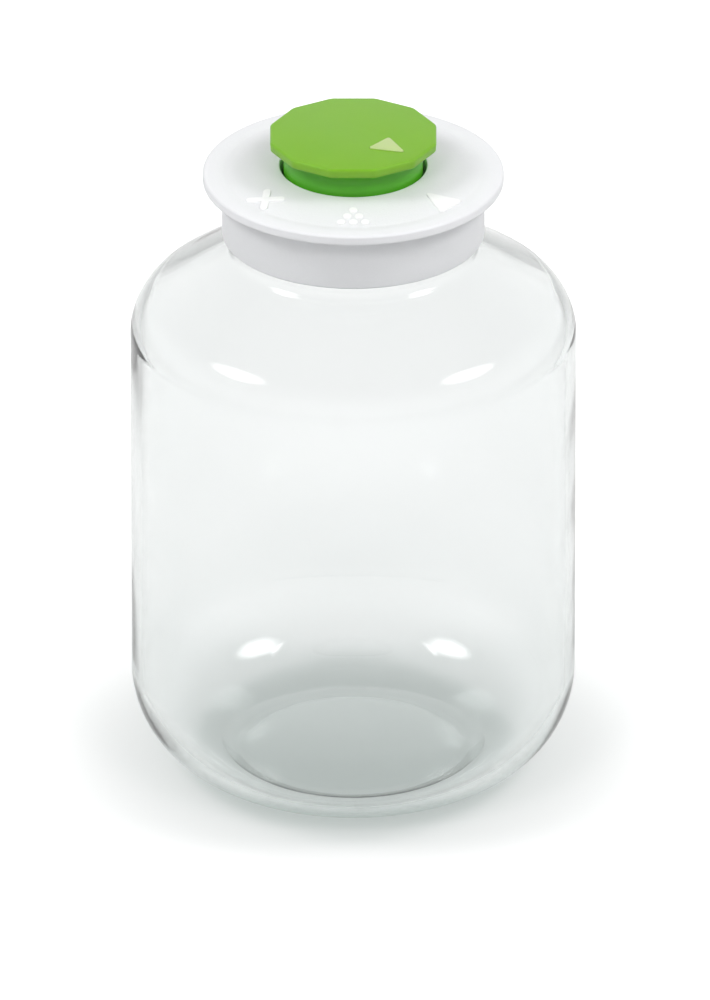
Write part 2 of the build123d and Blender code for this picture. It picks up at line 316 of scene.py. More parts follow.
def make_soft(name, light, dark, roughness, milky):
    material, blank, place = start_material(name)
    dust = noise(place, dust_scale, detail=5.0, roughness=0.65)
    shader = blank.node(
        "ShaderNodeBsdfPrincipled",
        inputs={
            "Base Color": dust.above(0.5, 0.2).mixed(dark, light),
            "Roughness": dust * 0.25 + roughness,
            "Subsurface Weight": milky,
            "Subsurface Radius": (0.003, 0.003, 0.003),
            "Subsurface Scale": 1.0,
            "Normal": bump(dust, dust_height),
        },
    )
    return end_material(material, shader)


def make_steel():
    material, blank, place = start_material("spring_steel")
    stretch = {"Vector": place, "Scale": (1.0, 1.0, 14.0)}
    drawn = noise(place.node("ShaderNodeMapping", inputs=stretch), drawn_scale, detail=3.0)
    shader = blank.node(
        "ShaderNodeBsdfPrincipled",
        inputs={
            "Base Color": drawn.mixed(colour(0.45, 0.45, 0.46), colour(0.68, 0.68, 0.69)),
            "Roughness": drawn * 0.2 + 0.22,
            "Metallic": 1.0,
            "Normal": bump(drawn, 0.00002),
        },
    )
    return end_material(material, shader)


# %% [markdown]
# A new piece is drawn as half a cross-section, from corner to corner. Each corner is softened
# with a bevel that works out its own width from the corner's angle, so that the arc has the
# wanted radius. One spin about the axis then makes the whole round piece.

# %% Helpers for turned pieces
turn_steps = 192


def soften(mesh, corner, radius, segments=6):
    """Round one corner of a flat outline to a true arc of the given radius."""
    edges = corner.link_edges
    sides = [(edge.other_vert(corner).co - corner.co).normalized() for edge in edges]
    opening = sides[0].angle(sides[1])
    width = radius / tan(opening / 2)
    bmesh.ops.bevel(
        mesh,
        geom=[corner],
        affect="VERTICES",
        offset=width,
        offset_type="OFFSET",
        segments=segments,
        profile=0.5,
        material=-1,
    )


def nearest(mesh, x, z):
    return min(mesh.verts, key=lambda vertex: hypot(vertex.co.x - x, vertex.co.z - z))


def drawn_section(corners, rounds):
    """Flat face in the XZ plane, from (radius, height) corners, with some corners rounded."""
    mesh = bmesh.new()
    mesh.faces.new([mesh.verts.new((x, 0, z)) for x, z in corners])
    for (x, z), radius, segments in rounds:
        soften(mesh, nearest(mesh, x, z), radius, segments)
    return mesh


def spun(mesh):
    """Turn the outline of a flat section once round the vertical axis."""
    bmesh.ops.delete(mesh, geom=list(mesh.faces), context="FACES_ONLY")
    on_axis = [e for e in mesh.edges if max(abs(v.co.x) for v in e.verts) < 1e-7]
    bmesh.ops.delete(mesh, geom=on_axis, context="EDGES")
    bmesh.ops.spin(
        mesh,
        geom=list(mesh.verts) + list(mesh.edges),
        cent=(0, 0, 0),
        axis=(0, 0, 1),
        dvec=(0, 0, 0),
        angle=2 * pi,
        steps=turn_steps,
        use_merge=True,
        use_duplicate=False,
    )
    bmesh.ops.remove_doubles(mesh, verts=list(mesh.verts), dist=1e-7)
    bmesh.ops.recalc_face_normals(mesh, faces=list(mesh.faces))
    return mesh


def finished(mesh, name, material, body, stands_for=(), sharp=35.0):
    """Make the bmesh an object that rides on its body and stands for its CAD nodes."""
    data = bpy.data.meshes.new(name)
    mesh.to_mesh(data)
    mesh.free()
    data.polygons.foreach_set("use_smooth", [True] * len(data.polygons))
    data.set_sharp_from_angle(angle=radians(sharp))
    data.materials.append(material)
    piece = bpy.data.objects.new(name, data)
    bpy.context.scene.collection.objects.link(piece)
    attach(piece, body)
    if stands_for:
        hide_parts(*stands_for)
    print(name, len(data.polygons), "faces")
    return piece


# %% [markdown]
# The jar comes first. Its outer form is a wide heel, a straight wall, a shoulder that turns
# into a cone, and the neck. The hollow follows the same line one wall inside. Both lie in one
# outline that starts and ends on the axis, so one spin gives glass with a real thickness.

# %% Jar sizes
rim_height = jar_high.z
glass_wall = 0.004
floor_thickness = 0.006
heel_radius = 0.040
base_ring_width = 0.004
base_rise = 0.003
wall_height = 0.1815
shoulder_radius = 0.019
shoulder_slope = radians(33.8)
neck_radius = 0.0462
neck_wall = 0.0037
neck_root_radius = 0.005
neck_bead_radius = 0.0012
neck_bead_lift = 0.0056
thread_lift = 0.0024
base_ring_round = 0.003
bead_root_round = 0.0008
bead_round = 0.0009
rim_round = 0.0016
floor_crease_round = 0.012

cone_start_radius = body_radius - shoulder_radius * (1 - sin(shoulder_slope))
cone_start_height = wall_height + shoulder_radius * cos(shoulder_slope)
neck_root_height = cone_start_height + (cone_start_radius - neck_radius) * tan(shoulder_slope)
print("neck root at", round(neck_root_height, 4), "rim at", round(rim_height, 4))

# %% [markdown]
# The corners of the outline follow in order, from the axis outside round to the axis inside.
# The pushed-up base and the floor above it are shallow domes, and a dome is only a corner with
# a very large radius. Each row of the second list names a corner and the radius that rounds it.

# %% Jar outline
outline_segments = 20
ring_inner = body_radius - heel_radius - base_ring_width
dome_radius = (ring_inner**2 + base_rise**2) / (2 * base_rise)
dome_corner = dome_radius * tan(asin(ring_inner / dome_radius) / 2)
floor_dome_radius = dome_radius + floor_thickness
crease_radius = 0.051
crease_height = base_rise - dome_radius + sqrt(floor_dome_radius**2 - crease_radius**2)
floor_corner = floor_dome_radius * tan(asin(crease_radius / floor_dome_radius) / 2)
inner_radius = body_radius - glass_wall
inner_heel = heel_radius - glass_wall
heel_slope = asin((crease_radius - body_radius + heel_radius) / inner_heel)
heel_corner = crease_height + (inner_radius - crease_radius) * tan(heel_slope)


def shoulder_corner(radius, rounding):
    """Height where the wall line and the cone line meet, for a shoulder of that rounding."""
    return wall_height + rounding * tan((pi / 2 - shoulder_slope) / 2)


outer_shoulder = shoulder_corner(body_radius, shoulder_radius)
inner_rounding = shoulder_radius - glass_wall
inner_shoulder = shoulder_corner(inner_radius, inner_rounding)
bore_radius = neck_radius - neck_wall
outer_root = outer_shoulder + (body_radius - neck_radius) * tan(shoulder_slope)
inner_root = inner_shoulder + (inner_radius - bore_radius) * tan(shoulder_slope)
bead_height = neck_root_height + neck_bead_lift
bead_half = neck_bead_radius * 1.25
bead_radius = neck_radius + neck_bead_radius
thread_bottom = bead_height + thread_lift
jar_corners = [
    (0, base_rise),
    (dome_corner, base_rise),
    (ring_inner, 0),
    (body_radius, 0),
    (body_radius, outer_shoulder),
    (neck_radius, outer_root),
    (neck_radius, bead_height - bead_half),
    (bead_radius, bead_height),
    (neck_radius, bead_height + bead_half),
    (neck_radius, thread_bottom),
    (neck_radius, rim_height),
    (bore_radius, rim_height),
    (bore_radius, inner_root),
    (inner_radius, inner_shoulder),
    (inner_radius, heel_corner),
    (crease_radius, crease_height),
    (floor_corner, base_rise + floor_thickness),
    (0, base_rise + floor_thickness),
]
jar_rounds = [
    (jar_corners[1], dome_radius * 0.99, outline_segments),
    (jar_corners[2], base_ring_round, 4),
    (jar_corners[3], heel_radius, outline_segments),
    (jar_corners[4], shoulder_radius, outline_segments),
    (jar_corners[5], neck_root_radius, 8),
    (jar_corners[6], bead_root_round, 4),
    (jar_corners[7], bead_round, 6),
    (jar_corners[8], bead_root_round, 4),
    (jar_corners[10], rim_round, 8),
    (jar_corners[11], rim_round, 8),
    (jar_corners[12], neck_root_radius + neck_wall, 8),
    (jar_corners[13], inner_rounding, outline_segments),
    (jar_corners[14], inner_heel, outline_segments),
    (jar_corners[15], floor_crease_round, 6),
    (jar_corners[16], floor_dome_radius * 0.99, outline_segments),
]
print("base dome radius", round(dome_radius, 3), "floor crease at", round(crease_height, 4))

# %% [markdown]
# The neck carries four thread lugs under the collar. They are part of the glass, so no piece is
# added: the neck's edge is cut into fine steps before the spin, and afterwards each point near
# a rising line is pushed outwards by a smooth wave, which fades out at both ends of the lug.

# %% The glass with its thread
lug_count = 4
lug_sweep = 62.0
lug_height = 0.0012
lug_half_width = 0.0019
lug_rise = 0.0026
lug_fade = 5.0
lug_middle = (thread_bottom + rim_height) / 2


def raise_lugs(mesh):
    """Pull the neck's surface out along four rising lines."""
    half = lug_sweep / 2
    for vertex in mesh.verts:
        on_neck = abs(hypot(vertex.co.x, vertex.co.y) - neck_radius) < 1e-5
        if not on_neck or vertex.co.z < thread_bottom:
            continue
        angle = degrees(atan2(vertex.co.y, vertex.co.x)) % (360 / lug_count) - 180 / lug_count
        line = lug_middle + lug_rise * angle / lug_sweep
        across = min(1.0, abs(vertex.co.z - line) / lug_half_width)
        along = min(1.0, max(0.0, (half - abs(angle)) / lug_fade))
        wave = 0.5 + 0.5 * cos(pi * across)
        fade = along * along * (3 - 2 * along)
        grow = 1 + lug_height * wave * fade / neck_radius
        vertex.co.x *= grow
        vertex.co.y *= grow


def cut_edge(mesh, low, high, cuts):
    """Cut the outline's edge between two corners into equal steps."""
    for edge in mesh.edges:
        places = [(v.co.x, v.co.z) for v in edge.verts]
        if all(abs(x - low[0]) < 1e-6 and low[1] - 1e-6 <= z <= high[1] + 1e-6 for x, z in places):
            bmesh.ops.subdivide_edges(mesh, edges=[edge], cuts=cuts)
            return


jar_mesh = drawn_section(jar_corners, jar_rounds)
cut_edge(jar_mesh, (neck_radius, thread_bottom), (neck_radius, rim_height), 30)
spun(jar_mesh)
raise_lugs(jar_mesh)
clear_glass = make_glass()
finished(jar_mesh, "jar_clear_glass", clear_glass, "jar", ["jar_glass"])

# %% [markdown]
# The lid is one moulding: a flange whose top falls from the valve well to a fine lip, a collar
# round the glass neck, a plug skirt inside it, and the well with its hub. It is turned like the
# jar. What isn't round, such as the ribs underneath, is added or cut afterwards.

# %% Lid sizes
lid_low, lid_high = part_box("lid_cap")
flange_radius = lid_high.x
hole_height = lid_high.z
collar_bottom = 0.222719
collar_radius = 0.050
collar_inner = 0.048
ceiling = 0.246019
flange_edge_top = 0.248219
flange_lip_bottom = 0.244619
valley_radius = 0.0492
valley_height = 0.24842
plug_outer, plug_inner, plug_bottom = 0.0412, 0.0396, 0.238019
well_radius, well_outer = 0.0279, 0.0299
well_floor_top, well_floor_bottom = 0.228019, 0.225819
hub_radius, hub_bore = 0.009, 0.00508
hub_bottom = lid_low.z
flange_thickness, under_step, edge_lift = 0.0022, 0.0007, 0.0002
lip_crest_radius = 0.0525
lip_crest_height = 0.24877
flange_lip_inner = flange_radius - flange_thickness
lid_corners = [
    (hub_bore, well_floor_top),
    (well_radius, well_floor_top),
    (well_radius, hole_height),
    (valley_radius, valley_height),
    (lip_crest_radius, lip_crest_height),
    (flange_radius, flange_edge_top + edge_lift),
    (flange_radius, flange_lip_bottom),
    (flange_lip_inner, flange_lip_bottom),
    (flange_lip_inner, ceiling),
    (collar_radius, ceiling),
    (collar_radius, collar_bottom),
    (collar_inner, collar_bottom),
    (collar_inner, ceiling),
    (plug_outer, ceiling),
    (plug_outer, plug_bottom),
    (plug_inner, plug_bottom),
    (plug_inner, ceiling + under_step),
    (well_outer, hole_height - flange_thickness),
    (well_outer, well_floor_bottom),
    (hub_radius, well_floor_bottom),
    (hub_radius, hub_bottom),
    (hub_bore, hub_bottom),
]
lid_rounds = [
    (lid_corners[1], 0.0006, 3),
    (lid_corners[2], 0.0006, 6),
    (lid_corners[3], 0.006, 8),
    (lid_corners[4], 0.010, 8),
    (lid_corners[5], 0.0010, 8),
    (lid_corners[6], 0.0007, 5),
    (lid_corners[7], 0.0005, 4),
    (lid_corners[9], 0.0008, 5),
    (lid_corners[10], 0.0008, 6),
    (lid_corners[11], 0.0006, 5),
    (lid_corners[14], 0.0004, 3),
    (lid_corners[15], 0.0004, 3),
]
print("flange", round(flange_radius * 2000, 1), "mm across, top at", round(hole_height, 4))

# %% [markdown]
# A rib is a block added to the mesh as it is, reaching into the shell on every side, so no gap
# shows. The gas port is a hole through the well floor, cut by a Boolean modifier whose result is
# applied to the mesh.

# %% Blocks and cuts
def block(mesh, low, high, angle=0.0):
    """Box between two corners, turned about the vertical axis."""
    size = [b - a for a, b in zip(low, high)]
    middle = [(a + b) / 2 for a, b in zip(low, high)]
    made = bmesh.ops.create_cube(mesh, size=1.0)["verts"]
    bmesh.ops.scale(mesh, vec=size, verts=made)
    bmesh.ops.translate(mesh, vec=middle, verts=made)
    bmesh.ops.rotate(mesh, cent=(0, 0, 0), matrix=Matrix.Rotation(angle, 3, "Z"), verts=made)
    return made


def peg(mesh, radius, low, high, x=0.0, y=0.0, steps=48):
    """Upright round peg between two heights."""
    made = bmesh.ops.create_cone(
        mesh, cap_ends=True, segments=steps, radius1=radius, radius2=radius, depth=high - low
    )["verts"]
    bmesh.ops.translate(mesh, vec=(x, y, (low + high) / 2), verts=made)
    return made


def combined(mesh, tool, operation):
    """Join or cut one closed mesh with another and give back a bmesh of the result."""
    pair = []
    for part in (mesh, tool):
        data = bpy.data.meshes.new("tool")
        bmesh.ops.recalc_face_normals(part, faces=list(part.faces))
        part.to_mesh(data)
        part.free()
        pair.append(bpy.data.objects.new("tool", data))
        bpy.context.scene.collection.objects.link(pair[-1])
    modifier = pair[0].modifiers.new("tool", "BOOLEAN")
    modifier.operation = operation
    modifier.solver = "EXACT"
    modifier.object = pair[1]
    bpy.context.view_layer.update()
    solved = pair[0].evaluated_get(bpy.context.evaluated_depsgraph_get())
    result = bmesh.new()
    result.from_mesh(solved.to_mesh())
    solved.to_mesh_clear()
    for item in pair:
        bpy.data.meshes.remove(item.data)
    bmesh.ops.remove_doubles(result, verts=list(result.verts), dist=1e-7)
    return result


# %% [markdown]
# Eight ribs stiffen the lid between the well and the plug skirt. Under the well floor lies the
# gas port, and on it stands the peg that stops the valve at both ends of its turn.

# %% The white lid
rib_count, rib_half, rib_depth = 8, 0.0007, 0.005
port_radius, port_offset = 0.003, 0.0135
stop_angle, stop_offset, stop_radius, stop_height = radians(250), 0.0215, 0.0015, 0.0024
grain_edge = flange_edge_top - 0.0008
tool_reach = 0.002

lid_mesh = spun(drawn_section(lid_corners, lid_rounds))
port_tool = bmesh.new()
port_low, port_high = well_floor_bottom - tool_reach, well_floor_top + tool_reach
peg(port_tool, port_radius, port_low, port_high, 0, port_offset)
lid_mesh = combined(lid_mesh, port_tool, "DIFFERENCE")
for index in range(rib_count):
    angle = (index + 0.5) * 2 * pi / rib_count
    low = (well_outer - 0.001, -rib_half, ceiling - rib_depth)
    block(lid_mesh, low, (plug_outer - 0.0008, rib_half, ceiling + 0.0012), angle)
stop_x, stop_y = stop_offset * cos(stop_angle), stop_offset * sin(stop_angle)
peg(lid_mesh, stop_radius, well_floor_top - 0.001, well_floor_top + stop_height, stop_x, stop_y)
white_plastic = make_white(grain_edge, white_shade, white_low_shade)
finished(lid_mesh, "lid_white_cap", white_plastic, "lid", ["lid_cap"])

# %% [markdown]
# Three signs stand on the flange and tell how the valve is set: six dots, a wedge and a cross.
# Each is a flat outline, pulled up a little, with a softened top edge. Then every point is
# lifted by the height of the lid under it, so that the sign lies on the slope like a skin.

# %% Raised signs
sign_height = 0.0006
sign_sink = 0.0004
sign_edge = 0.00028


def lid_top(radius):
    """Height of the flange's top at that distance from the axis."""
    run = (radius - well_radius) / (valley_radius - well_radius)
    field = hole_height + (valley_height - hole_height) * run
    return max(field, valley_height)


def flat_shape(corners, rounding, segments):
    """Flat outline through (x, y) corners, each rounded by bevelling its corner point."""
    mesh = bmesh.new()
    mesh.faces.new([mesh.verts.new((x, y, 0)) for x, y in corners])
    for corner in list(mesh.verts):
        soften(mesh, corner, rounding, segments)
    return mesh


def raised(mesh, height, edge_round):
    """Pull a flat shape up and soften its upper edge."""
    made = bmesh.ops.extrude_face_region(mesh, geom=list(mesh.faces))
    top = [item for item in made["geom"] if isinstance(item, bmesh.types.BMVert)]
    bmesh.ops.translate(mesh, vec=(0, 0, height), verts=top)
    bmesh.ops.recalc_face_normals(mesh, faces=list(mesh.faces))
    flat_top = max(mesh.faces, key=lambda face: face.calc_center_median().z)
    bmesh.ops.bevel(
        mesh,
        geom=list(flat_top.edges),
        affect="EDGES",
        offset=edge_round,
        offset_type="OFFSET",
        segments=4,
        profile=0.5,
        material=-1,
    )
    return mesh


def laid_on_lid(mesh):
    for vertex in mesh.verts:
        vertex.co.z += lid_top(hypot(vertex.co.x, vertex.co.y)) - sign_sink
    return mesh


def joined(parts):
    """One bmesh out of several, which are freed."""
    whole = bmesh.new()
    for part in parts:
        data = bpy.data.meshes.new("part")
        part.to_mesh(data)
        part.free()
        whole.from_mesh(data)
        bpy.data.meshes.remove(data)
    return whole


# %% [markdown]
# The dots stand in a small pyramid that points to the knob. The cross is two bars with round
# ends that lie over each other. The wedge is the pointer's own outline seen in a mirror, so
# that the two make one arrow when the knob is turned to it.

# %% Dots, cross and wedge
dot_radius = 0.00172
dot_edge = sign_edge * 1.6
dot_places = [(0, 0.0376), (0.0023, 0.04165), (-0.0023, 0.04165)]
dot_places += [(0, 0.0457), (0.0046, 0.0457), (-0.0046, 0.0457)]
sign_rise = sign_height + sign_sink


def dot(x, distance):
    mesh = bmesh.new()
    bmesh.ops.create_circle(mesh, cap_ends=True, segments=32, radius=dot_radius)
    bmesh.ops.translate(mesh, vec=(x, -distance, 0), verts=list(mesh.verts))
    return raised(mesh, sign_rise, dot_edge)


def bar(start, end, width):
    """Bar with round ends between two points."""
    middle = Vector(((start[0] + end[0]) / 2, (start[1] + end[1]) / 2, 0))
    half_length = hypot(end[0] - start[0], end[1] - start[1]) / 2 + width / 2
    half = width / 2
    box = [(-half_length, -half), (half_length, -half), (half_length, half), (-half_length, half)]
    mesh = flat_shape(box, half * 0.98, 8)
    turn = Matrix.Rotation(atan2(end[1] - start[1], end[0] - start[0]), 3, "Z")
    bmesh.ops.rotate(mesh, cent=(0, 0, 0), matrix=turn, verts=list(mesh.verts))
    bmesh.ops.translate(mesh, vec=middle, verts=list(mesh.verts))
    return raised(mesh, sign_rise, sign_edge)


def wedge(tip_radius, base_radius, base_width, rounding):
    """Rounded triangle along +X, its tip at one radius and its base at the other."""
    half = base_width / 2
    corners = [(tip_radius, 0), (base_radius, -half), (base_radius, half)]
    mesh = flat_shape(corners, rounding, 8)
    bmesh.ops.recalc_face_normals(mesh, faces=list(mesh.faces))
    return mesh


sign_white = make_white(1.0, sign_shade, sign_shade)
sign_white.name = "sign_white"
dots = laid_on_lid(joined([dot(x, distance) for x, distance in dot_places]))
finished(dots, "sign_dots", sign_white, "lid")

sign_radius = 0.0429
cross_angle = radians(-141.0)
bar_width, bar_reach = 0.0030, 0.0059
cross_middle = Vector((cos(cross_angle), sin(cross_angle))) * sign_radius
bars = []
for bar_turn in (cross_angle - pi / 4, cross_angle + pi / 4):
    reach = Vector((cos(bar_turn), sin(bar_turn))) * bar_reach
    bars.append(bar(cross_middle - reach, cross_middle + reach, bar_width))
cross = laid_on_lid(joined(bars))
finished(cross, "sign_cross", sign_white, "lid")

pointer_angle = radians(-40.0)
wedge_tip, wedge_base, wedge_width, wedge_corner = 0.0353, 0.0490, 0.0134, 0.0013
wedge_shape = wedge(wedge_tip, wedge_base, wedge_width, wedge_corner)
wedge_mesh = raised(wedge_shape, sign_rise, sign_edge)
turn = Matrix.Rotation(pointer_angle, 3, "Z")
bmesh.ops.rotate(wedge_mesh, cent=(0, 0, 0), matrix=turn, verts=list(wedge_mesh.verts))
finished(laid_on_lid(wedge_mesh), "sign_wedge", sign_white, "lid")

# %% [markdown]
# The knob starts as a twelve-sided outline with rounded corners, whose flats are cut into short
# edges. The outline is then pulled down step by step. On the way each point slides from the
# twelve sides towards a circle, which gives the smooth flare between the plate and the neck.

# %% Knob sizes
knob_low, knob_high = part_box("knob_shell")
knob_top = knob_high.z
plate_apothem = knob_high.x
plate_sides = 12
plate_corner = 0.004
plate_edge_round = 0.0009
plate_thickness = 0.0038
flare_height = 0.0044
waist_lift = 0.0012
knob_wall = 0.002
plate_bottom = knob_top - plate_thickness
flare_bottom = plate_bottom - flare_height
neck_waist = 0.0255
skirt_radius = 0.0265
waist_bottom = hole_height + waist_lift
skirt_inner = skirt_radius - knob_wall
skirt_bottom = knob_low.z
skirt_edge_round = 0.0004
draft = 0.0001


def polygon_loop(apothem, height):
    """Twelve-sided face with rounded corners, one flat towards each axis."""
    mesh = bmesh.new()
    corner_radius = apothem / cos(pi / plate_sides)
    made = bmesh.ops.create_circle(
        mesh, cap_ends=True, segments=plate_sides, radius=corner_radius
    )["verts"]
    turn = Matrix.Rotation(pi / plate_sides, 3, "Z")
    bmesh.ops.rotate(mesh, cent=(0, 0, 0), matrix=turn, verts=made)
    for corner in list(mesh.verts):
        soften(mesh, corner, plate_corner, 5)
    longest = max(edge.calc_length() for edge in mesh.edges)
    flats = [edge for edge in mesh.edges if edge.calc_length() > longest / 2]
    bmesh.ops.subdivide_edges(mesh, edges=flats, cuts=7)
    bmesh.ops.translate(mesh, vec=(0, 0, height), verts=list(mesh.verts))
    return mesh


# %% [markdown]
# Each step below gives a height, a radius and how round the outline is there, from 0 for the
# twelve sides to 1 for a circle. The last steps turn in under the skirt and go up inside it,
# because the knob is a hollow moulding that the valve disc closes from below.

# %% The green knob
edge_turns = [radians(angle) for angle in (22.5, 45, 67.5, 90)]
knob_steps = []
for turn_angle in edge_turns:
    drop = plate_edge_round * (1 - cos(turn_angle))
    out = plate_edge_round * sin(turn_angle)
    knob_steps.append((knob_top - drop, plate_apothem - plate_edge_round + out, 0.0))
knob_steps.append(((knob_top + plate_bottom) / 2, plate_apothem - draft, 0.0))
for turn_angle in edge_turns:
    drop = plate_edge_round * (1 - sin(turn_angle))
    out = plate_edge_round * cos(turn_angle)
    height = plate_bottom + drop
    knob_steps.append((height, plate_apothem - plate_edge_round + out - draft, 0.0))
flare_start = plate_apothem - plate_edge_round
flare_turns, waist_turns = 8, 4
for index in range(1, flare_turns + 1):
    part = index / flare_turns
    radius = flare_start + (neck_waist - flare_start) * sin(part * pi / 2)
    height = plate_bottom + (flare_bottom - plate_bottom) * part**1.6
    knob_steps.append((height, radius, part))
for index in range(1, waist_turns + 1):
    part = index / waist_turns
    swell = (skirt_radius - neck_waist) * (1 - cos(part * pi / 2))
    height = flare_bottom + (waist_bottom - flare_bottom) * part
    knob_steps.append((height, neck_waist + swell, 1.0))
knob_steps.append((skirt_bottom + 0.0005, skirt_radius, 1.0))
knob_steps.append((skirt_bottom, skirt_radius - skirt_edge_round, 1.0))
knob_steps.append((skirt_bottom, skirt_inner, 1.0))
knob_steps.append((plate_bottom - 0.001, skirt_inner - 0.001, 1.0))


def knob_body():
    """Pull the outline of the plate down through all its steps and close it inside."""
    start = plate_apothem - plate_edge_round
    mesh = polygon_loop(start, knob_top)
    shape = {vertex: vertex.co.copy() for vertex in mesh.verts}
    loop = list(mesh.edges)
    home = {vertex: vertex for vertex in mesh.verts}
    for height, radius, roundness in knob_steps:
        made = bmesh.ops.extrude_edge_only(mesh, edges=loop)["geom"]
        new_verts = [item for item in made if isinstance(item, bmesh.types.BMVert)]
        loop = [
            edge
            for edge in made
            if isinstance(edge, bmesh.types.BMEdge) and all(v in new_verts for v in edge.verts)
        ]
        next_home = {}
        for vertex in new_verts:
            origin = min(home, key=lambda old: (old.co - vertex.co).length_squared)
            first = shape[home[origin]]
            next_home[vertex] = home[origin]
            spoke = Vector((first.x, first.y, 0))
            plain = spoke * (radius / start)
            circle = spoke.normalized() * radius
            vertex.co = plain.lerp(circle, roundness)
            vertex.co.z = height
        home = next_home
    bmesh.ops.holes_fill(mesh, edges=loop, sides=0)
    bmesh.ops.recalc_face_normals(mesh, faces=list(mesh.faces))
    return mesh


# %% [markdown]
# The pale pointer lies in a recess of the plate. The same rounded triangle, a hair larger, cuts
# the recess, so a fine shadow line runs round the inlay as on the real, separately moulded part.

# %% Knob with its recess, and the pointer
recess_depth = 0.0008
recess_gap = 0.00012
pointer_proud = 0.0004
pointer_edge = 0.0003
pointer_tip, pointer_base, pointer_width, pointer_corner = 0.0258, 0.0125, 0.0124, 0.0010


def pointer_shape(growth, bottom, top, edge_round):
    mesh = wedge(
        pointer_tip + growth, pointer_base - growth, pointer_width + 2 * growth, pointer_corner
    )
    raised(mesh, top - bottom, edge_round)
    matrix = Matrix.Rotation(pointer_angle, 3, "Z")
    bmesh.ops.rotate(mesh, cent=(0, 0, 0), matrix=matrix, verts=list(mesh.verts))
    bmesh.ops.translate(mesh, vec=(0, 0, bottom), verts=list(mesh.verts))
    return mesh


recess_top = knob_top + 0.001
recess = pointer_shape(recess_gap, knob_top - recess_depth, recess_top, 0.0001)
knob_mesh = combined(knob_body(), recess, "DIFFERENCE")
leaf_green = colour(0.200, 0.45, 0.013)
leaf_shade = colour(0.170, 0.405, 0.010)
# The neck's deeper green below the plate is painted shade, for the shadow the plate casts.
neck_painted_shade_green = colour(0.080, 0.40, 0.012)
neck_edge = plate_bottom - 0.0004
green_plastic = make_coloured(
    "green_plastic", leaf_green, leaf_shade, 0.34, 0.25, neck_painted_shade_green, neck_edge
)
finished(
    knob_mesh,
    "knob_green_shell",
    green_plastic,
    "knob",
    ["knob_shell"],
)

pale_green = colour(0.54, 0.65, 0.30)
pale_shade = colour(0.43, 0.57, 0.20)
pointer_material = make_coloured("pale_green_plastic", pale_green, pale_shade, 0.3, 0.15)
pointer_top = knob_top + pointer_proud
pointer_mesh = pointer_shape(0, knob_top - recess_depth, pointer_top, pointer_edge)
finished(
    pointer_mesh,
    "knob_pale_pointer",
    pointer_material,
    "knob",
    ["knob_pointer"],
)

# %% [markdown]
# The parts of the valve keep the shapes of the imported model, which are already right. Only
# their finish changes: the new material takes the place of the plain one in the node's slot.

# %% Finishes of the carried-over parts
milky, milky_dark = colour(0.74, 0.76, 0.76), colour(0.66, 0.68, 0.68)
plain, plain_dark = colour(0.76, 0.77, 0.76), colour(0.7, 0.71, 0.7)
black, black_dark = colour(0.030, 0.030, 0.032), colour(0.018, 0.018, 0.02)
milky_silicone = make_soft("silicone", milky, milky_dark, 0.38, 0.3)
inner_plastic = make_soft("inner_plastic", plain, plain_dark, 0.32, 0.1)
black_rubber = make_soft("black_rubber", black, black_dark, 0.42, 0.0)
spring_steel = make_steel()
finishes = {
    "lid_seal": milky_silicone,
    "valve_seat": milky_silicone,
    "one_way_valve": milky_silicone,
    "valve_rotor": inner_plastic,
    "thrust_washer": inner_plastic,
    "stem_oring": black_rubber,
    "retaining_ring": spring_steel,
}
for node_name, material in finishes.items():
    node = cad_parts[node_name]
    node.data.materials.clear()
    node.data.materials.append(material)
print("carried over:", ", ".join(sorted(finishes)))

# %% [markdown]
# The floor is one large sheet. For the camera, and for rays that glass or gloss sends on, it
# also glows faintly, so that its unshaded part reaches white. Close round the jar the camera
# sees less of that glow than farther out, which keeps the shadow at the jar's foot and gives a
# plain white background. The light on the jar comes from the lamps and the world alone.

# %% Floor
floor_shade = 0.76
floor_seen = 0.78
floor_glow = 0.20
camera_glow = 0.04
far_glow = 0.25
far_start = 0.112
far_softness = 0.03
paper_step = 0.01
floor_radius = 30.0


def make_floor():
    material, blank, place = start_material("pale_floor")
    paper = noise(place, 900.0, detail=2.0)
    shades = paper.mixed(grey(floor_shade), grey(floor_shade + paper_step))
    seen_shades = paper.mixed(grey(floor_seen), grey(floor_seen + paper_step))
    diffuse = blank.node("ShaderNodeBsdfDiffuse", inputs={"Color": shades})
    bright = blank.node("ShaderNodeBsdfDiffuse", inputs={"Color": seen_shades})
    away = place.node("ShaderNodeVectorMath", {"operation": "LENGTH"}, {0: place}, "Value")
    seen = blank.node("ShaderNodeLightPath", output="Is Camera Ray")
    far = away.above(far_start, far_softness)
    strength = (far * far_glow + camera_glow) * seen + floor_glow
    glow = blank.node("ShaderNodeEmission", inputs={"Color": grey(1), "Strength": strength})
    both = blank.node("ShaderNodeAddShader", inputs={0: bright, 1: glow})
    for ray in ("Is Glossy Ray", "Is Transmission Ray"):
        seen = seen.maths("MAXIMUM", seen, blank.node("ShaderNodeLightPath", output=ray))
    surface = blank.node("ShaderNodeMixShader", inputs={0: seen, 1: diffuse, 2: both})
    return end_material(material, surface)


floor_mesh = bmesh.new()
bmesh.ops.create_circle(floor_mesh, cap_ends=True, segments=64, radius=floor_radius)
floor_data = bpy.data.meshes.new("floor")
floor_mesh.to_mesh(floor_data)
floor_mesh.free()
floor_data.materials.append(make_floor())
floor = bpy.data.objects.new("floor", floor_data)
bpy.context.scene.collection.objects.link(floor)

# %% [markdown]
# The world is white where the camera, gloss or glass sees it, and a little dimmer as a source
# of light. Towards the zenith it grows darker for gloss and glass, as the ceiling of a studio
# does, so that the edges of the clear jar find something to refract that isn't white.

# %% World
ambient_light = 0.51
zenith_shade = 0.45


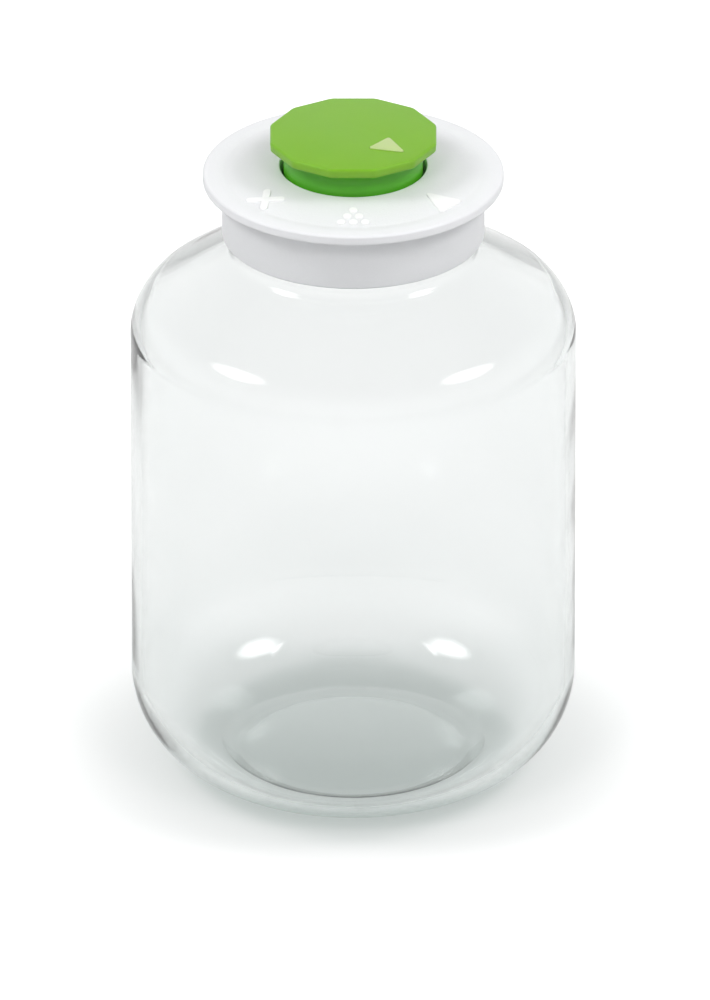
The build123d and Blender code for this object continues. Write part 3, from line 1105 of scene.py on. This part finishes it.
def make_world():
    world = bpy.data.worlds.new("studio")
    bpy.context.scene.world = world
    world.use_nodes = True
    world.node_tree.nodes.clear()
    blank = Wire(world.node_tree)
    ray = blank.node("ShaderNodeTexCoord", output="Generated")
    height = ray.node("ShaderNodeSeparateXYZ", inputs={"Vector": ray}, output=2)
    ceiling_part = height.above(0.5, 0.35)
    seen_sky = ceiling_part.mixed(grey(1), grey(zenith_shade))
    camera_ray = blank.node("ShaderNodeLightPath", output="Is Camera Ray")
    glossy_ray = blank.node("ShaderNodeLightPath", output="Is Glossy Ray")
    glass_ray = blank.node("ShaderNodeLightPath", output="Is Transmission Ray")
    seen = camera_ray.maths("MAXIMUM", camera_ray, glossy_ray)
    seen = seen.maths("MAXIMUM", seen, glass_ray)
    sky = blank.node("ShaderNodeBackground", inputs={"Color": seen_sky, "Strength": 1.0})
    light = blank.node("ShaderNodeBackground", inputs={"Color": grey(1), "Strength": ambient_light})
    mixed = blank.node("ShaderNodeMixShader", inputs={0: seen, 1: light, 2: sky})
    output = world.node_tree.nodes.new("ShaderNodeOutputWorld")
    world.node_tree.links.new(mixed.socket, output.inputs["Surface"])


make_world()

# %% [markdown]
# Two large softboxes stand at the left and right of the camera, just so high that the jar's
# round shoulder shows them as two broad highlights. Four weaker ones hang higher and light the
# lid. They are hidden from gloss and glass, so that they leave no highlights of their own.

# %% Lights
fade_start, fade_softness = 0.28, 0.22
fade_gain = 3.4
lamp_target = Vector((0, 0, 0.17))


def softbox(name, direction, distance, width, height, power):
    """Area light that looks at the upper half of the jar and fades towards its own edges."""
    data = bpy.data.lights.new(name, "AREA")
    data.shape = "RECTANGLE"
    data.size = width
    data.size_y = height
    data.energy = power
    data.use_nodes = True
    data.node_tree.nodes.clear()
    blank = Wire(data.node_tree)
    across = blank.node("ShaderNodeNewGeometry", output="Parametric")
    settings = {"operation": "DISTANCE"}
    centre = (0.5, 0.5, 0.0)
    away = across.node("ShaderNodeVectorMath", settings, {0: across, 1: centre}, "Value")
    fade = 1 - away.above(fade_start, fade_softness)
    shine = blank.node("ShaderNodeEmission", inputs={"Strength": fade * fade_gain})
    output = data.node_tree.nodes.new("ShaderNodeOutputLight")
    data.node_tree.links.new(shine.socket, output.inputs["Surface"])
    light = bpy.data.objects.new(name, data)
    towards = Vector(direction).normalized()
    light.location = lamp_target + towards * distance
    light.rotation_mode = "QUATERNION"
    light.rotation_quaternion = towards.to_track_quat("Z", "Y")
    bpy.context.scene.collection.objects.link(light)
    return light


softbox("softbox_left", (-0.69, -0.16, 0.70), 1.5, 0.84, 0.62, 5.4)
softbox("softbox_right", (0.69, -0.16, 0.70), 1.5, 0.84, 0.62, 5.6)
fills = [
    softbox("front_left", (-0.35, -0.70, 0.78), 2.0, 0.8, 0.8, 5.4),
    softbox("front_right", (0.35, -0.70, 0.78), 2.0, 0.8, 0.8, 5.4),
    softbox("top_left", (-0.62, 0.02, 0.78), 1.5, 0.60, 0.56, 2.0),
    softbox("top_right", (0.62, 0.02, 0.78), 1.5, 0.60, 0.56, 2.2),
]
for fill in fills:
    fill.visible_glossy = False
    fill.visible_transmission = False
